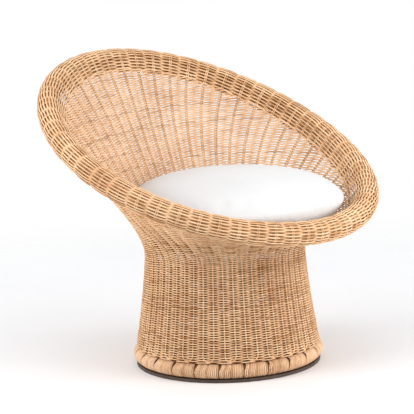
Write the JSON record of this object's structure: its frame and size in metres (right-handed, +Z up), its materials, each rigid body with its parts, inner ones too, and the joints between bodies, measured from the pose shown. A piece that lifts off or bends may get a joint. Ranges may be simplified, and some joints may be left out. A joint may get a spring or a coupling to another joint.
{
  "type": "woven rattan tub chair",
  "caption": "Low round lounge chair of woven rattan: waisted foot, flaring bowl with a tilted rolled rim, and a loose round seat cushion.",
  "frame": {"origin": "on the floor, below the middle of the rim seen from above", "axes": "+Z up, -Y towards the low front of the rim, +X to the sitter's left as the chair is seen from the front"},
  "size_m": [0.8618, 0.8278, 0.759],
  "materials": {
    "cane_weave": "plain woven natural cane, satin",
    "cane_peel": "split cane peel, satin",
    "cane_stick": "bare cane sticks, satin",
    "dark_wood": "dark stained wood",
    "cover_cloth": "plain white cotton",
    "cushion_fill": "soft fill"
  },
  "bodies": {
    "chair": {"foot_ring": "dark_wood", "base_hoop": "cane_stick", "base_wrap": "cane_peel", "stake_01": "cane_stick", "stake_02": "cane_stick", "stake_03": "cane_stick", "stake_04": "cane_stick", "stake_05": "cane_stick", "stake_06": "cane_stick", "stake_07": "cane_stick", "stake_08": "cane_stick", "stake_09": "cane_stick", "stake_10": "cane_stick", "stake_11": "cane_stick", "stake_12": "cane_stick", "stake_13": "cane_stick", "stake_14": "cane_stick", "stake_15": "cane_stick", "stake_16": "cane_stick", "stake_17": "cane_stick", "stake_18": "cane_stick", "stake_19": "cane_stick", "stake_20": "cane_stick", "stake_21": "cane_stick", "stake_22": "cane_stick", "stake_23": "cane_stick", "stake_24": "cane_stick", "stake_25": "cane_stick", "stake_26": "cane_stick", "skirt_weave": "cane_weave", "bowl_weave": "cane_weave", "rim_roll": "cane_weave", "rim_hoop": "cane_stick", "seat_hoop": "cane_stick", "seat_bar_1": "cane_stick", "seat_bar_2": "cane_stick", "seat_bar_3": "cane_stick", "seat_panel": "cane_weave", "post_1": "cane_stick", "post_2": "cane_stick", "post_3": "cane_stick", "post_4": "cane_stick", "post_5": "cane_stick", "post_6": "cane_stick"},
    "cushion": {"cushion_core": "cushion_fill", "cushion_top_panel": "cover_cloth", "cushion_bottom_panel": "cover_cloth"}
  },
  "joints": [
    {"name": "cushion_lift", "type": "slide", "parent": "chair", "child": "cushion", "axis": [0, 0, 1], "range_m": [0, 0.44]}
  ]
}
